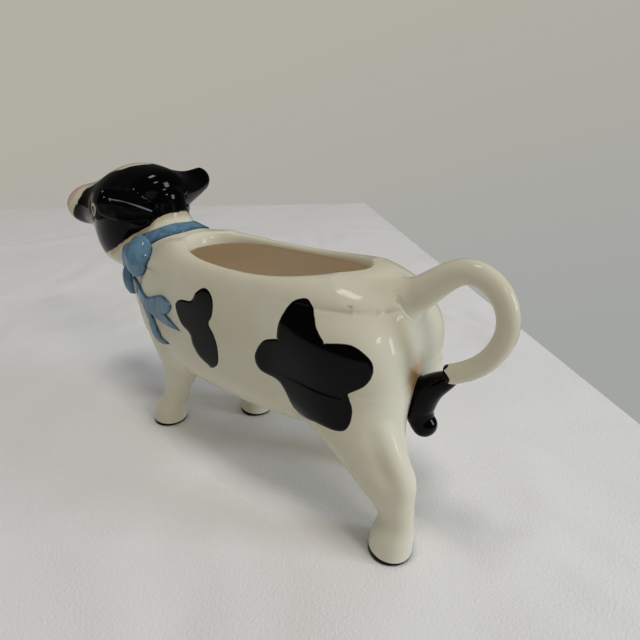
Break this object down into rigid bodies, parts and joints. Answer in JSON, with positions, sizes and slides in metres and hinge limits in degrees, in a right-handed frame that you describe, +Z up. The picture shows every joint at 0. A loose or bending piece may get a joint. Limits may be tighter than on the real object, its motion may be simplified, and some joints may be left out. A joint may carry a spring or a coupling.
{
  "type": "cow creamer",
  "caption": "Glazed ceramic milk jug shaped as a standing cow: filled through the open back, held by the curled tail and poured through a hole in the mouth.",
  "frame": {"origin": "on the floor between the hooves, under the middle of the whole length from nose to tail and in the cow's middle plane", "axes": "+X forward towards the nose, +Y to the cow's own left, +Z up from the floor"},
  "size_m": [0.2134, 0.059, 0.1106],
  "materials": {
    "white_glaze": "glossy creamy white glaze",
    "black_glaze": "glossy black glaze",
    "pink_glaze": "glossy pinkish glaze",
    "blue_glaze": "glossy brushed blue glaze"
  },
  "bodies": {
    "root": {"body_shell": "white_glaze", "neck": "white_glaze", "head": "black_glaze", "muzzle": "pink_glaze", "left_ear": "black_glaze", "right_ear": "black_glaze", "front_left_leg": "white_glaze", "front_right_leg": "white_glaze", "hind_left_leg": "white_glaze", "hind_right_leg": "white_glaze", "front_left_hoof": "black_glaze", "front_right_hoof": "black_glaze", "hind_left_hoof": "black_glaze", "hind_right_hoof": "black_glaze", "tail_handle": "white_glaze", "tail_tuft": "black_glaze", "ribbon_band": "blue_glaze", "bow_knot": "blue_glaze", "back_bow_loop": "blue_glaze", "front_bow_loop": "blue_glaze", "short_ribbon_end": "blue_glaze", "long_ribbon_end": "blue_glaze"}
  },
  "joints": []
}
